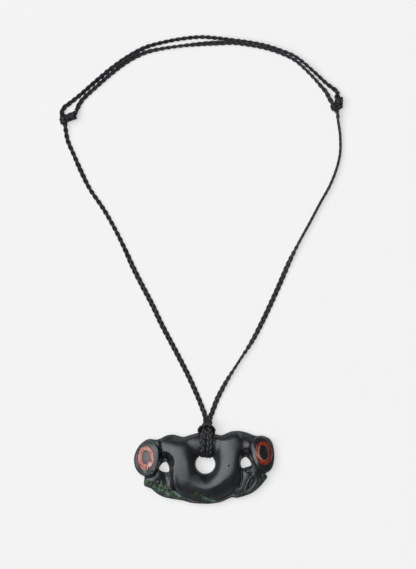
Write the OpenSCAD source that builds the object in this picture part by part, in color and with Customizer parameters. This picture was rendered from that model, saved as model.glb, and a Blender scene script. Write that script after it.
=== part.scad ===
// Two-headed bat pendant carved from dark greenstone, with red inlaid eye rings,
// hitched by its centre bar to a loop of thin plaited cord with two sliding knots.
// Millimetres. The pendant lies on its flat back at z = 0, heads to the left and right,
// and the cord loop lies on the same surface, towards +Y.

/* [Stone] */
// Width across both heads
stone_w = 70; // [67:0.5:73]
// Height of the crest of the body above the back
crest_h = 8.5; // [8:0.1:9]
// Height of the two shoulders
shoulder_h = 7.8; // [7.2:0.1:8.4]
// Height of the bar that carries the cord
bar_h = 6.3; // [5.8:0.1:6.4]
// Height of the wing plates
wing_h = 4.6; // [4.2:0.1:5]
// Height of the ground between the raised forms
floor_h = 3.1; // [2.8:0.1:3.4]
// Diameter of the centre hole
hole_d = 10.2; // [9.8:0.1:10.6]
// Depth of the relief behind the bar, where the cord lies
relief_d = 2.5; // [2.4:0.1:2.8]

/* [Eyes] */
// Outward tilt of the flat eye faces
eye_tilt = 27; // [22:1:30]
// Height of the middle of each eye face
eye_h = 6.5; // [6.2:0.1:6.8]
// Depth of the inlaid rings
ring_depth = 0.9; // [0.6:0.1:1.2]
// Gap round each inlaid ring
ring_gap = 0.06; // [0.04:0.01:0.1]
// Height of the rings above the eye face
ring_proud = 0.1; // [0:0.05:0.2]

/* [Cord] */
// Diameter of the plaited cord
cord_d = 1.8; // [1.6:0.1:1.8]
// Diameter of the cord where it is pulled tight over the bar
hitch_d = 2.2; // [2:0.1:2.2]
// Diameter of the two sliding knots
knot_d = 4.4; // [4:0.1:4.6]

/* [Hidden] */

stone_color = [0.14, 0.16, 0.17];
ring_left_color = [0.76, 0.42, 0.38];
ring_right_color = [0.66, 0.25, 0.16];
cord_color = [0.09, 0.09, 0.11];

// Columns of a point
X = 0;
Y = 1;
Z = 2;

hole_c = [0.75, 1.5];
widen = stone_w / 70;

// The outline of the stone, anticlockwise from the notch under the right head
outline_points = [
    [30.7, -2.8], [31.5, -2.2], [33.1, -0.5], [34.3, 2], [35, 6.2], [34.2, 10.6], [32.7, 13.6],
    [30.9, 15.1], [28.6, 15.7], [26.6, 15.5], [24.5, 16], [22.2, 16.9], [20, 17.6], [16.8, 18.2],
    [13.6, 17.9], [11.5, 17], [8.5, 15.9], [5.3, 16.6], [1, 17.4], [-2.8, 17.1], [-7, 16],
    [-10.2, 15.1], [-12.4, 15.5], [-15.6, 16.2], [-18.9, 15.7], [-22.1, 14.1], [-24.3, 13.7],
    [-26.9, 14], [-29.1, 13.5], [-31.6, 11.5], [-33.6, 8.7], [-34.7, 5.6], [-35, 3.4],
    [-34.6, 0.7], [-33.4, -1.8], [-31.6, -3.6], [-29.8, -4.7], [-30.1, -7.5], [-29.8, -9.1],
    [-28.6, -9.8], [-26.4, -10.6], [-24.4, -12.4], [-22, -14], [-19.6, -15], [-15.7, -15.8],
    [-10.6, -16.6], [-6.2, -17.8], [-1, -18.2], [3, -18.2], [8.2, -17.4], [13.4, -15.2],
    [15.4, -15.2], [17, -15.2], [20.5, -14.2], [24, -12.8], [27.5, -10.1], [30.5, -6.6], [31.6, -4.8]];

left_hole_points = [[-19.7, 3.2], [-21.6, 1.7], [-22.6, -0.6], [-21.2, -2], [-19.2, -2.6],
                    [-17.3, -2.2], [-17.1, -0.5], [-17.5, 1.6], [-18.4, 3]];
right_hole_points = [[20.7, 5.3], [18.9, 4.2], [18.1, 2.2], [19, -0.4], [21.2, 0], [23.4, 0.7],
                     [23.7, 1.9], [22.5, 4.2]];

// The crest of the U-shaped body: x, y, height above crest_h, half width inside, half width outside
crest_points = [
    [-16.4, 12, -0.7, 6, 6], [-14.4, 8.5, -0.4, 6, 5], [-12.6, 5, -0.2, 5.5, 5],
    [-11.8, 0.5, -0.1, 5, 5], [-10.4, -4.5, 0, 5, 5.8], [-7, -8.4, 0, 5, 7.5],
    [-3, -10.4, 0, 5, 8.6], [1.5, -10.9, 0, 5, 8.6], [6, -9.6, 0, 5, 8], [10, -6.2, 0, 5, 7],
    [12.3, -1.5, 0, 5, 6], [12.9, 3.5, 0, 5.2, 5.4], [13.6, 8, 0, 6, 5.6], [16, 12, -0.2, 7, 7]];

// Low domes that fill in the shoulders, the bar and the wings: x, y, height, half width x, half width y
domes = [
    [-17.2, 11.4, shoulder_h - 0.4, 6.6, 6], [17.8, 12.4, shoulder_h, 9, 7],
    [1.2, 12, bar_h, 9.5, 11],
    [-22.5, -8.5, wing_h, 10.5, 7.5], [22.5, -7.5, wing_h + 0.2, 11, 8.5],
    [-28.4, 4.6, wing_h - 1, 7.5, 10.5], [29.4, 6.8, wing_h - 1, 7, 10.5]];

// Scoops above the side holes: x, y, radius, depth
scoops = [[-20.2, 5.4, 2.6, 2.2], [20.3, 7.6, 2.8, 2.4]];

// Grooves that part the body from the heads and wings
groove_r = 0.7;
groove_left_head = [[-22.2, 14.2], [-22.1, 11], [-22, 6], [-22.4, 1.5], [-24, -2.6], [-27, -4.6],
                    [-30.4, -5]];
groove_right_head = [[26.4, 16], [24.4, 12.5], [23.4, 8], [24.6, 3], [27.2, 0], [31.2, -2.6]];
groove_left_wing = [[-16.9, -2.4], [-16.3, -6], [-14.9, -9.8], [-12.8, -13.2], [-10.6, -16.8]];
groove_right_wing = [[18.5, -0.6], [17.8, -5], [16.6, -10], [14, -15.4]];

// Eyes: middle of the face x, y; half sizes of the face; lean of its long side;
// middle of the foot x, y; half sizes of the foot; outer and inner half sizes of the ring
eye_left = [[-29.2, 4.7], [5.6, 8.6], -6, [-28.4, 4.6], [6.1, 9], [4.7, 6.1], [2.25, 3.5]];
eye_right = [[29.8, 7], [5.2, 8.4], 14, [29.1, 6.7], [5.6, 8.6], [4.7, 6.3], [2.45, 3.9]];

// The route of the hitch, from the left leg under the arch, down the front of the bar, through
// the hole, up the back and over the top edge to the middle of the arch
hitch_left = [[0.5, 26, 1.8], [0.9, 24, 3.2], [0.7, 21.8, 5.2], [0.2, 19.6, 6.7], [-0.4, 17.2, 7.4],
              [-0.6, 14, 7.6], [-0.6, 10, 7.6], [-0.6, 7.4, 7], [-0.6, 5.4, 5.4], [-0.6, 5, 3.4],
              [-0.7, 5.3, 2.1], [-0.8, 6.6, 1.3], [-1.2, 11, 1.15], [-1.6, 15.8, 1.15],
              [-1.9, 17.9, 1.9], [-2.2, 19, 4], [-1.9, 19.9, 6.2], [-0.8, 21.2, 7.7], [1.2, 22, 8.1]];
hitch_right = [[3.5, 26, 1.8], [2.9, 24, 3.2], [2.9, 21.8, 5.2], [2.8, 19.6, 6.7], [2.9, 17.2, 7.4],
               [2.9, 14, 7.6], [2.9, 10, 7.6], [2.9, 7.4, 7], [2.7, 5.2, 5.4], [2.5, 4.7, 3.4],
               [2.6, 5, 2.1], [2.9, 6.4, 1.3], [3.5, 11, 1.15], [3.9, 15.8, 1.15],
               [4.3, 17.9, 1.9], [4.6, 19, 4], [4.3, 19.9, 6.2], [3.2, 21.2, 7.7], [1.2, 22, 8.1]];

// The cords' routes, from the hitch up one leg, through the knot on it, and over to the other knot
route_left = [
    [0.5, 26, 1.8], [-1, 30, 1.1], [-3, 35, 1], [-7, 44, 1], [-11.5, 53, 1], [-16.5, 62.5, 1],
    [-21.5, 72, 1], [-26, 81.5, 1], [-31, 91, 1], [-35.5, 100, 1], [-40, 110, 1], [-45, 120, 1],
    [-50.5, 129.5, 1], [-57, 139, 1], [-61.5, 148, 1], [-65, 156, 1], [-68, 163, 1],
    [-69, 168, 1.6], [-69.5, 171.5, 2.4], [-71, 176, 2.4], [-70, 179.5, 1.8], [-67, 182, 1.1],
    [-62, 186, 1], [-54, 193, 1.2], [-46, 199.5, 2.4], [-38, 205, 2.7], [-30, 209.5, 1.6],
    [-22, 212, 1], [-12, 214, 1], [-2, 215, 1], [6, 214.5, 1.2], [14, 213.5, 2.7],
    [22, 212.5, 2.7], [30, 211, 2.7], [38, 208.5, 2.7], [46, 205, 2.5], [54, 198.5, 1.9],
    [61, 192, 1.2], [65.5, 188.5, 1.6], [67, 186.5, 2.3]];
route_right = [
    [3.5, 26, 1.8], [5, 30, 1.1], [7, 35, 1], [11.5, 43.5, 1], [17.5, 53, 1], [24, 63, 1],
    [29, 72.5, 1], [33.5, 82, 1], [38, 92, 1], [42.5, 102.5, 1], [47.5, 112.5, 1],
    [53, 122.5, 1], [58, 132, 1], [62.5, 140, 1], [66, 148.5, 1], [68, 157, 1], [68, 166, 1],
    [67, 173, 1.6], [66.5, 177.5, 2.4], [64, 182, 2.4], [62.5, 184.5, 1.8], [61, 187.5, 1.1],
    [58, 191, 1], [54, 195.5, 1], [46, 203, 1], [38, 207, 1], [30, 209.5, 1], [22, 211, 1],
    [14, 212, 1], [6, 212, 1], [-2, 211.5, 1], [-12, 210.5, 1], [-22, 209, 1], [-30, 207, 1],
    [-38, 203, 1], [-46, 197, 1], [-54, 190, 1], [-60, 184.5, 1.1], [-62.5, 181, 1.6],
    [-63.7, 178, 2.2]];

// Each knot rides on the straight stretch of a route that starts at this row; ends of its barrel
knot_row = 18;
barrel_left = [[-69, 174.2, 2.3], [-64.2, 176, 2.3]];
barrel_right = [[67.4, 179, 2.3], [67.3, 185.2, 2.3]];

function flat(p) = [p[X], p[Y]];
function mix(a, b, t) = a + (b - a) * t;
function limit(v, low, high) = max(low, min(high, v));
function total(list, i = 0) = i < len(list) ? list[i] + total(list, i + 1) : 0;
function unit(v) = v / norm(v);

// A smooth curve through points: each span is a cubic that leans on its four nearest points
function span_at(a, b, c, d, t) =
    0.5 * (2 * b + (c - a) * t + (2 * a - 5 * b + 4 * c - d) * t * t + (3 * b - a - 3 * c + d) * t * t * t);
function closed_curve(p, n) =
    let (m = len(p))
    [for (i = [0 : m - 1]) for (k = [0 : n - 1])
        span_at(p[(i + m - 1) % m], p[i], p[(i + 1) % m], p[(i + 2) % m], k / n)];
function open_curve(p, n) =
    let (m = len(p) - 1)
    concat([for (i = [0 : m - 1]) for (k = [0 : n - 1])
        span_at(p[max(i - 1, 0)], p[i], p[i + 1], p[min(i + 2, m)], k / n)], [p[m]]);

function along(p, a, b) = limit((p - a) * (b - a) / ((b - a) * (b - a)), 0, 1);
function to_line(p, a, b) = norm(p - mix(a, b, along(p, a, b)));
function to_loop(p, loop) =
    let (n = len(loop))
    min([for (i = [0 : n - 1]) to_line(p, loop[i], loop[(i + 1) % n])]);
function crossings(p, loop) =
    len([for (i = [0 : len(loop) - 1])
        let (a = loop[i], b = loop[(i + 1) % len(loop)])
        if ((a[Y] > p[Y]) != (b[Y] > p[Y]) && p[X] < mix(a[X], b[X], (p[Y] - a[Y]) / (b[Y] - a[Y]))) 1]);
function inside(p, loop) = crossings(p, loop) % 2 == 1;

outline = [for (p = closed_curve(outline_points, 2)) [p[X] * widen, p[Y]]];
left_hole = closed_curve(left_hole_points, 3);
right_hole = closed_curve(right_hole_points, 3);
crest = open_curve(crest_points, 2);

// How fast a form falls away: 0.5 gives an ellipse, 1 a parabola
fall_power = 0.7;

// Height of the U-shaped body: rounded across the crest, narrower inside than outside
function body_height(p) =
    let (
        far = [for (i = [0 : len(crest) - 2]) to_line(p, flat(crest[i]), flat(crest[i + 1]))],
        near = min(far),
        i = search(near, far)[0],
        a = flat(crest[i]),
        b = flat(crest[i + 1]),
        row = mix(crest[i], crest[i + 1], along(p, a, b)),
        side = cross(b - a, p - a),
        width = side > 0 ? row[3] : row[4],
        fall = pow(max(0, 1 - pow(near / width, 2)), fall_power))
    mix(floor_h, crest_h + row[2], fall);

// Height of a dome: rounded in both directions, down to the floor
function dome_height(p, d) =
    let (fall = max(0, 1 - pow((p[X] - d[0]) / d[3], 2) - pow((p[Y] - d[1]) / d[4], 2)))
    mix(floor_h, d[2], pow(fall, fall_power));

// Forms meet in a soft valley: the logarithm of the sum of their exponentials
valley = 3;
function ground(p) =
    let (
        forms = concat([floor_h, body_height(p)], [for (d = domes) dome_height(p, d)]),
        dips = [for (s = scoops) s[3] * exp(-pow(norm(p - flat(s)) / s[2], 2))])
    ln(total([for (z = forms) exp(valley * z)])) / valley - total(dips);

// A quarter circle from 0 at the edge to 1 at one radius in
function rounding(t) = sqrt(1 - pow(1 - limit(t, 0, 1), 2));

// Height of the rim and upper edge radius as shares of the local height, lower edge radius,
// and the least rounding kept beside a side hole
rim_share = 0.42;
edge_share = 0.36;
back_radius = 1.2;
thin_side = 0.3;

// The channel behind the bar rises from the flat back to relief_d between soft sides
bar_x = 1.2;
channel_half = 5.4;
channel_side = 1.4;
channel_y = 2.5;
channel_ramp = 2;
function relief(p) =
    let (
        across = limit((channel_half - abs(p[X] - bar_x)) / channel_side, 0, 1),
        up = limit((p[Y] - channel_y) / channel_ramp, 0, 1))
    relief_d * across * up;

// Top and back heights at a point whose distances from the rims and side holes are known
function heights(p, rim_gap, side_gap) =
    let (
        h = ground(p),
        back = relief(p),
        rim = back + (h - back) * rim_share,
        r = h * edge_share,
        top = min(rounding(rim_gap / r), max(thin_side, rounding(side_gap / r))),
        low = min(rounding(rim_gap / back_radius), max(thin_side, rounding(side_gap / back_radius))))
    [rim + (h - rim) * top, rim - (rim - back) * low];

// The sheet is spokes from the centre hole to the outline, each a closed loop of points:
// out along the top and back along the underside
rings = 15;
spokes = len(outline);
spoke_points = 2 * rings;

// Steps from the centre hole out to the outline, closer together at both rims
crowding = 0.6;
function reach(j) = mix(j / rings, (1 - cos(180 * j / rings)) / 2, crowding);

function side_gap(p) =
    (inside(p, left_hole) || inside(p, right_hole)) ? 0 : min(to_loop(p, left_hole), to_loop(p, right_hole));

// Outline points on either side of a spoke that may be the nearest to it
reach_points = 12;
function section(i) =
    let (
        far_point = outline[i],
        near_point = hole_c + unit(far_point - hole_c) * hole_d / 2,
        nearby = [for (k = [-reach_points : reach_points]) outline[(i + k + spokes) % spokes]],
        rows = [for (j = [0 : rings])
            let (
                p = mix(near_point, far_point, reach(j)),
                to_out = min([for (k = [0 : len(nearby) - 2]) to_line(p, nearby[k], nearby[k + 1])]),
                to_in = norm(p - hole_c) - hole_d / 2,
                gap = (j == 0 || j == rings) ? 0 : min(to_out, to_in),
                z = heights(p, gap, side_gap(p)))
            [p, z]])
    concat(
        [for (j = [0 : rings]) [rows[j][0][X], rows[j][0][Y], rows[j][1][0]]],
        [for (j = [rings - 1 : -1 : 1]) [rows[j][0][X], rows[j][0][Y], rows[j][1][1]]]);

module carved_sheet() {
    sections = [for (i = [0 : spokes - 1]) section(i)];
    points = [for (s = sections) each s];
    faces = [for (i = [0 : spokes - 1]) for (k = [0 : spoke_points - 1])
        let (
            a = i * spoke_points + k,
            b = i * spoke_points + (k + 1) % spoke_points,
            c = ((i + 1) % spokes) * spoke_points + (k + 1) % spoke_points,
            d = ((i + 1) % spokes) * spoke_points + k)
        each [[a, c, b], [a, d, c]]];
    polyhedron(points, faces, convexity = 8);
}

module eye_place(eye) {
    side = sign(eye[0][X]);
    translate([eye[0][X], eye[0][Y], eye_h])
        rotate([0, side * eye_tilt, 0])
            rotate([0, 0, eye[2]])
                children();
}

// A drum that rises from an upright foot to the tilted oval face
face_t = 0.5;
foot_z = 1.6;
module eye_drum(eye) {
    hull() {
        eye_place(eye)
            translate([0, 0, -face_t])
                scale([eye[1][X], eye[1][Y], 1])
                    cylinder(h = face_t, r = 1, $fn = 36);
        translate([eye[3][X], eye[3][Y], foot_z])
            rotate([0, 0, eye[2]])
                scale([eye[4][X], eye[4][Y], 1])
                    cylinder(h = face_t, r = 1, $fn = 36);
    }
}

// An oval band on the eye face, from below it to above it, grown by a gap on every side
module oval_band(eye, low, high, grow) {
    eye_place(eye)
        translate([0, 0, low])
            linear_extrude(high - low)
                difference() {
                    scale([eye[5][X] + grow, eye[5][Y] + grow])
                        circle(r = 1, $fn = 40);
                    scale([eye[6][X] - grow, eye[6][Y] - grow])
                        circle(r = 1, $fn = 40);
                }
}

// A groove follows the ground: its cutter is round below and open above
groove_open = 5;
module groove(points, r) {
    for (i = [0 : len(points) - 2])
        hull()
            for (p = [points[i], points[i + 1]])
                translate([p[X], p[Y], ground(p)]) {
                    sphere(r = r, $fn = 8);
                    cylinder(h = groove_open, r = r, $fn = 8);
                }
}

// An engraved oval leaf on the right wing
leaf = [23.5, -7.7];
leaf_half = [1.7, 4.1];
leaf_line = 0.5;
leaf_lean = -28;
leaf_z = wing_h - 0.3;
module leaf_cut() {
    translate([leaf[X], leaf[Y], leaf_z])
        rotate([0, 0, leaf_lean])
            linear_extrude(groove_open)
                difference() {
                    scale(leaf_half)
                        circle(r = 1, $fn = 24);
                    scale([leaf_half[X] - leaf_line, leaf_half[Y] - leaf_line])
                        circle(r = 1, $fn = 24);
                }
}

module side_hole(loop) {
    translate([0, 0, -1])
        linear_extrude(crest_h + 2)
            polygon(loop);
}

module stone() {
    color(stone_color)
        difference() {
            union() {
                carved_sheet();
                eye_drum(eye_left);
                eye_drum(eye_right);
            }
            side_hole(left_hole);
            side_hole(right_hole);
            groove(groove_left_head, groove_r);
            groove(groove_right_head, groove_r);
            groove(groove_left_wing, groove_r);
            groove(groove_right_wing, groove_r);
            leaf_cut();
            oval_band(eye_left, -ring_depth - ring_gap, 1, ring_gap);
            oval_band(eye_right, -ring_depth - ring_gap, 1, ring_gap);
        }
}

module eye_ring(eye, tint) {
    color(tint)
        oval_band(eye, -ring_depth, ring_proud, 0);
}

// The cord pulled tight: two strands down the front of the bar, up behind it and over as an arch
hitch_end = 0.3;
// Gap between a cord's end face and the piece that it goes into
face_gap = 0.02;
module hitch() {
    color(cord_color) {
        for (half = [hitch_left, hitch_right])
            for (i = [1 : len(half) - 2])
                hull()
                    for (p = [half[i], half[i + 1]])
                        translate(p)
                            sphere(d = hitch_d, $fn = 10);
        for (pair = [[route_left, hitch_left], [route_right, hitch_right]])
            hull() {
                aim(pair[0][0], 2 * pair[0][0] - pair[0][1])
                    translate([0, 0, face_gap])
                        cylinder(h = hitch_end, d = cord_d, $fn = 16);
                translate(pair[1][1])
                    sphere(d = hitch_d, $fn = 10);
            }
    }
}

// A tube along a route: one eight-sided ring at each point, square to the way past it
sides = 8;
function heading(route, i) = unit(route[min(i + 1, len(route) - 1)] - route[max(i - 1, 0)]);
function ring_at(route, i) =
    let (
        go = heading(route, i),
        out = unit(cross(go, [0, 0, 1])),
        up = cross(out, go))
    [for (k = [0 : sides - 1])
        let (turn = 360 * (k + 0.5) / sides)
        route[i] + (out * cos(turn) + up * sin(turn)) * cord_d / 2];

module tube(route) {
    n = len(route);
    points = [for (i = [0 : n - 1]) each ring_at(route, i)];
    walls = [for (i = [0 : n - 2]) for (k = [0 : sides - 1])
        let (a = i * sides + k, b = i * sides + (k + 1) % sides)
        each [[a, b, b + sides], [a, b + sides, a + sides]]];
    start = [for (k = [sides - 1 : -1 : 0]) k];
    finish = [for (k = [0 : sides - 1]) (n - 1) * sides + k];
    polyhedron(points, concat([start], walls, [finish]), convexity = 10);
}

module cord(route) {
    color(cord_color)
        tube(route);
}

module aim(from, to) {
    go = unit(to - from);
    translate(from)
        rotate([0, acos(go[Z]), atan2(go[Y], go[X])])
            children();
}

// A sliding knot: a barrel of wraps whose end loop goes round the other cord, and a collar
// where its own cord comes in
loop_wire = 1.2;
knot_clear = 0.12;
barrel_round = 0.9;
collar_t = 0.3;
bore_spare = 5;
loop_steps = 14;
module knot(other, own, barrel) {
    across = [other[knot_row], other[knot_row + 1]];
    mid = (across[0] + across[1]) / 2;
    from = barrel[0];
    to = barrel[1];
    loop_in = cord_d / 2 + knot_clear;
    length = norm(to - from);
    tip = own[len(own) - 1];
    before = own[len(own) - 2];
    color(cord_color)
        difference() {
            union() {
                aim(from, to)
                    rotate_extrude($fn = 20)
                        polygon([[0, 0], [knot_d / 2 - barrel_round, 0], [knot_d / 2, barrel_round],
                                 [knot_d / 2, length - barrel_round], [knot_d / 2 - barrel_round, length],
                                 [0, length]]);
                hull() {
                    aim(tip, 2 * tip - before)
                        translate([0, 0, face_gap])
                            cylinder(h = collar_t, d = cord_d + collar_t, $fn = 16);
                    aim(to, from)
                        cylinder(h = collar_t, d = knot_d - 2 * barrel_round, $fn = 16);
                }
                aim(mid, across[1])
                    for (k = [0 : loop_steps - 1])
                        hull()
                            for (turn = [k, k + 1])
                                rotate([0, 0, 360 * turn / loop_steps])
                                    translate([loop_in + loop_wire / 2, 0, 0])
                                        sphere(d = loop_wire, $fn = 8);
            }
            aim(across[0], across[1])
                translate([0, 0, -bore_spare])
                    cylinder(h = norm(across[1] - across[0]) + 2 * bore_spare, r = loop_in, $fn = 20);
        }
}

module knot_left() {
    knot(route_left, route_right, barrel_left);
}

module knot_right() {
    knot(route_right, route_left, barrel_right);
}

stone();
eye_ring(eye_left, ring_left_color);  // eye_ring_left
eye_ring(eye_right, ring_right_color);  // eye_ring_right
hitch();
cord(route_left);  // cord_left
cord(route_right);  // cord_right
knot_left();
knot_right();
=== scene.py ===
import bpy
import numpy as np
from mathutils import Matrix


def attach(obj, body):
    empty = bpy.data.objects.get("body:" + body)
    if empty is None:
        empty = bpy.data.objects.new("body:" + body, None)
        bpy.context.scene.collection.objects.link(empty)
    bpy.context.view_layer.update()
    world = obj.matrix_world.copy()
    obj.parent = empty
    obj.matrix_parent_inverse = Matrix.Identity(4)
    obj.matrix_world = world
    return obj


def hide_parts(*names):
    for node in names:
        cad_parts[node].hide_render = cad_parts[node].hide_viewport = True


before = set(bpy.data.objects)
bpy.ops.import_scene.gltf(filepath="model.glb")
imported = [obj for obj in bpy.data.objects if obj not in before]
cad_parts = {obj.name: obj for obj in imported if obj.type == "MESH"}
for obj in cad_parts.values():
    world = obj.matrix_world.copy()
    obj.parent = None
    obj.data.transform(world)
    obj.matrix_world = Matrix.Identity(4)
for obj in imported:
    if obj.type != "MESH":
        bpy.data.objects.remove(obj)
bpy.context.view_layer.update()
scene = bpy.context.scene

# The view, straight down on the pendant and its cord as they lie on a pale sheet. A long lens keeps
# the outlines as flat as in the photograph.
mm = 0.001
photo_height = 569
pixel = 0.5 * mm
view_middle = (2 * mm, 91.35 * mm)
camera_z = 2.0
camera_data = bpy.data.cameras.new("camera")
camera_data.sensor_width = 36
camera_data.lens = camera_data.sensor_width * camera_z / (photo_height * pixel)
camera_data.clip_end = 2 * camera_z
camera = bpy.data.objects.new("camera", camera_data)
camera.location = (*view_middle, camera_z)
scene.collection.objects.link(camera)
scene.camera = camera

# The rope: one length of flat three-strand plait in waxed thread. It runs from the right knot down
# the left leg, is hitched round the bar of the stone, and runs up the right leg to the left knot.

# The legs: x, y, z in millimetres, turn of the plait's broad side off the level in degrees
route_left = [
    [0.5, 26, 1.8, 0], [-1, 30, 1.1, 0], [-3, 35, 1, 10], [-7, 44, 1, 0], [-11.5, 53, 1, 10],
    [-16.5, 62.5, 1, 10], [-21.5, 72, 1, 0], [-26, 81.5, 1, 0], [-31, 91, 1, 0],
    [-35.5, 100, 1, 0], [-40, 110, 1, 40], [-45, 120, 1, 50], [-50.5, 129.5, 1, 45],
    [-57, 139, 1, 50], [-61.5, 148, 1, 30], [-65, 156, 1, 50], [-68, 163, 1, 40],
    [-69, 168, 1.6, 45], [-69.5, 171.5, 2.4, 40], [-71, 176, 2.4, 30], [-70, 179.5, 1.8, 30],
    [-67, 182, 1.1, 40], [-62, 186, 1, 50], [-54, 193, 1.2, 50], [-46, 199.5, 2.4, 45],
    [-38, 205, 2.7, 35], [-30, 209.5, 1.6, 50], [-22, 212, 1, 60], [-12, 214, 1, 60],
    [-2, 215, 1, 60], [6, 214.5, 1.2, 60], [14, 213.5, 2.7, 65], [22, 212.5, 2.7, 72],
    [30, 211, 2.7, 75], [38, 208.5, 2.7, 75], [46, 205, 2.5, 75], [54, 198.5, 1.9, 75],
    [61, 192, 1.2, 60], [65.5, 188.5, 1.6, 40], [67, 186.5, 2.3, 30]]
route_right = [
    [3.5, 26, 1.8, 0], [5, 30, 1.1, 0], [7, 35, 1, 10], [11.5, 43.5, 1, 50], [17.5, 53, 1, 90],
    [24, 63, 1, 40], [29, 72.5, 1, 10], [33.5, 82, 1, 0], [38, 92, 1, 0], [42.5, 102.5, 1, 30],
    [47.5, 112.5, 1, 85], [53, 122.5, 1, 95], [58, 132, 1, 90], [62.5, 140, 1, 85],
    [66, 148.5, 1, 90], [68, 157, 1, 95], [68, 166, 1, 90], [67, 173, 1.6, 85],
    [66.5, 177.5, 2.4, 50], [64, 182, 2.4, 40], [62.5, 184.5, 1.8, 40], [61, 187.5, 1.1, 45],
    [58, 191, 1, 60], [54, 195.5, 1, 75], [46, 203, 1, 70], [38, 207, 1, 70], [30, 209.5, 1, 72],
    [22, 211, 1, 72], [14, 212, 1, 60], [6, 212, 1, 15], [-2, 211.5, 1, 40], [-12, 210.5, 1, 70],
    [-22, 209, 1, 60], [-30, 207, 1, 45], [-38, 203, 1, 35], [-46, 197, 1, 45], [-54, 190, 1, 50],
    [-60, 184.5, 1.1, 40], [-62.5, 181, 1.6, 30], [-63.7, 178, 2.2, 40]]
# The hitch: x, y, z in millimetres, share by which the plait is spread out flat on the bar
hitch_left = [
    [0.9, 24, 3.2, 0.1], [0.8, 21.8, 5.2, 0.3], [0.5, 19.6, 6.7, 0.5], [-0.1, 17.2, 7.4, 0.9],
    [-0.5, 14, 7.6, 1], [-0.6, 10, 7.6, 1], [-0.5, 7.7, 7, 1], [-0.4, 5.9, 5.4, 0.8],
    [-0.4, 5.5, 3.4, 0.6], [-0.5, 5.8, 2.1, 0.6], [-0.8, 7, 1.3, 0.8], [-1.2, 11, 1.15, 1],
    [-1.4, 15.8, 1.15, 1], [-1.6, 17.9, 1.9, 1], [-1.8, 19, 4, 0.8], [-1.5, 19.9, 6.2, 0.6],
    [-0.6, 21.2, 7.7, 0.5], [1.2, 21.9, 8.1, 0.5]]
hitch_right = [
    [2.9, 24, 3.2, 0.1], [2.8, 21.8, 5.2, 0.3], [2.6, 19.6, 6.7, 0.5], [2.7, 17.2, 7.4, 0.9],
    [2.8, 14, 7.6, 1], [2.8, 10, 7.6, 1], [2.6, 7.7, 7, 1], [2.4, 5.7, 5.4, 0.8],
    [2.3, 5.2, 3.4, 0.6], [2.4, 5.5, 2.1, 0.6], [2.8, 6.9, 1.3, 0.8], [3.4, 11, 1.15, 1],
    [3.7, 15.8, 1.15, 1], [4, 17.9, 1.9, 1], [4.2, 19, 4, 0.8], [3.9, 19.9, 6.2, 0.6],
    [3, 21.2, 7.7, 0.5]]
# The plait: how far each strand swings across and up, its half width and half thickness, and the
# length in which the pattern comes round again
swing = 0.75
rise = 0.26
strand_wide = 0.62
strand_thick = 0.48
strand_sides = 10
plait_pitch = 9.2
plait_thick = 2 * (rise + strand_thick)
# The routes are those of a round cord: its radius on the sheet and on the bar. On the bar the plait
# is spread wider by a share.
route_radius = 1
bar_radius = 1.1
bar_middle = np.array([0, 11.5, 4.2])
bar_spread = 0.28
bar_share = 0.4
# Steps to each span of the curve, the even step along the plait, and the least height of a strand
span_steps = 12
rope_step = 0.4
least_height = 0.02
up = np.array([0.0, 0.0, 1.0])


def unit(vectors):
    """Vectors divided by their own lengths."""
    return vectors / np.linalg.norm(vectors, axis=-1, keepdims=True)


def smooth_share(value):
    """0 at 0, 1 at 1, level at both ends: 3v^2 - 2v^3."""
    value = np.clip(value, 0, 1)
    return value * value * (3 - 2 * value)


def smooth(rows, per_span, closed=False):
    """Rows on a smooth curve: each span is a cubic in t that leans on its four nearest rows a, b, c, d,
    half of (2b + (c - a)t + (2a - 5b + 4c - d)t^2 + (3b - a - 3c + d)t^3). A closed curve ends with
    its first row."""
    rows = np.asarray(rows, float)
    if closed:
        a, b, c, d = (np.roll(rows, shift, axis=0) for shift in (1, 0, -1, -2))
    else:
        ends = np.vstack([rows[:1], rows, rows[-1:]])
        a, b, c, d = ends[:-3], ends[1:-2], ends[2:-1], ends[3:]
    t = (np.arange(per_span) / per_span)[None, :, None]
    a, b, c, d = (each[:, None, :] for each in (a, b, c, d))
    cubic = (2 * b + (c - a) * t + (2 * a - 5 * b + 4 * c - d) * t ** 2
             + (3 * b - a - 3 * c + d) * t ** 3) / 2
    curve = cubic.reshape(-1, rows.shape[1])
    return np.vstack([curve, curve[:1] if closed else rows[-1:]])


def even(rows, step):
    """The rows resampled at even steps of arc length, and the arc length at each."""
    reach = np.concatenate([[0], np.cumsum(np.linalg.norm(np.diff(rows[:, :3], axis=0), axis=1))])
    at = np.linspace(0, reach[-1], int(np.ceil(reach[-1] / step)) + 1)
    return np.stack([np.interp(at, reach, column) for column in rows.T], axis=1), at


def tube(centre, wide, thick, broad, sides, at):
    """A closed tube along a centre line: an oval with half sizes wide and thick round each point, its
    wide axis as near to the broad direction as lies square to the line. Returns its points, its walls,
    its two end faces, and for each corner of the walls the arc length and the share of the way round."""
    way = unit(np.gradient(centre, axis=0))
    across = unit(broad - np.sum(broad * way, axis=1, keepdims=True) * way)
    over = np.cross(way, across)
    turn = 2 * np.pi * np.arange(sides) / sides
    ring = (wide[:, None, None] * np.cos(turn)[None, :, None] * across[:, None, :]
            + thick[:, None, None] * np.sin(turn)[None, :, None] * over[:, None, :])
    points = (centre[:, None, :] + ring).reshape(-1, 3)
    i, k = np.meshgrid(np.arange(len(centre) - 1), np.arange(sides), indexing="ij")
    j = (k + 1) % sides
    walls = np.stack([i * sides + k, i * sides + j, (i + 1) * sides + j, (i + 1) * sides + k], -1)
    uv = np.stack([np.stack([at[i + di], (k + dk) / sides], -1)
                   for di, dk in ((0, 0), (0, 1), (1, 1), (1, 0))], 2)
    first = np.arange(sides)[::-1]
    last = (len(centre) - 1) * sides + np.arange(sides)
    return points, walls.reshape(-1, 4), [first, last], uv.reshape(-1, 2)


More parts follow.
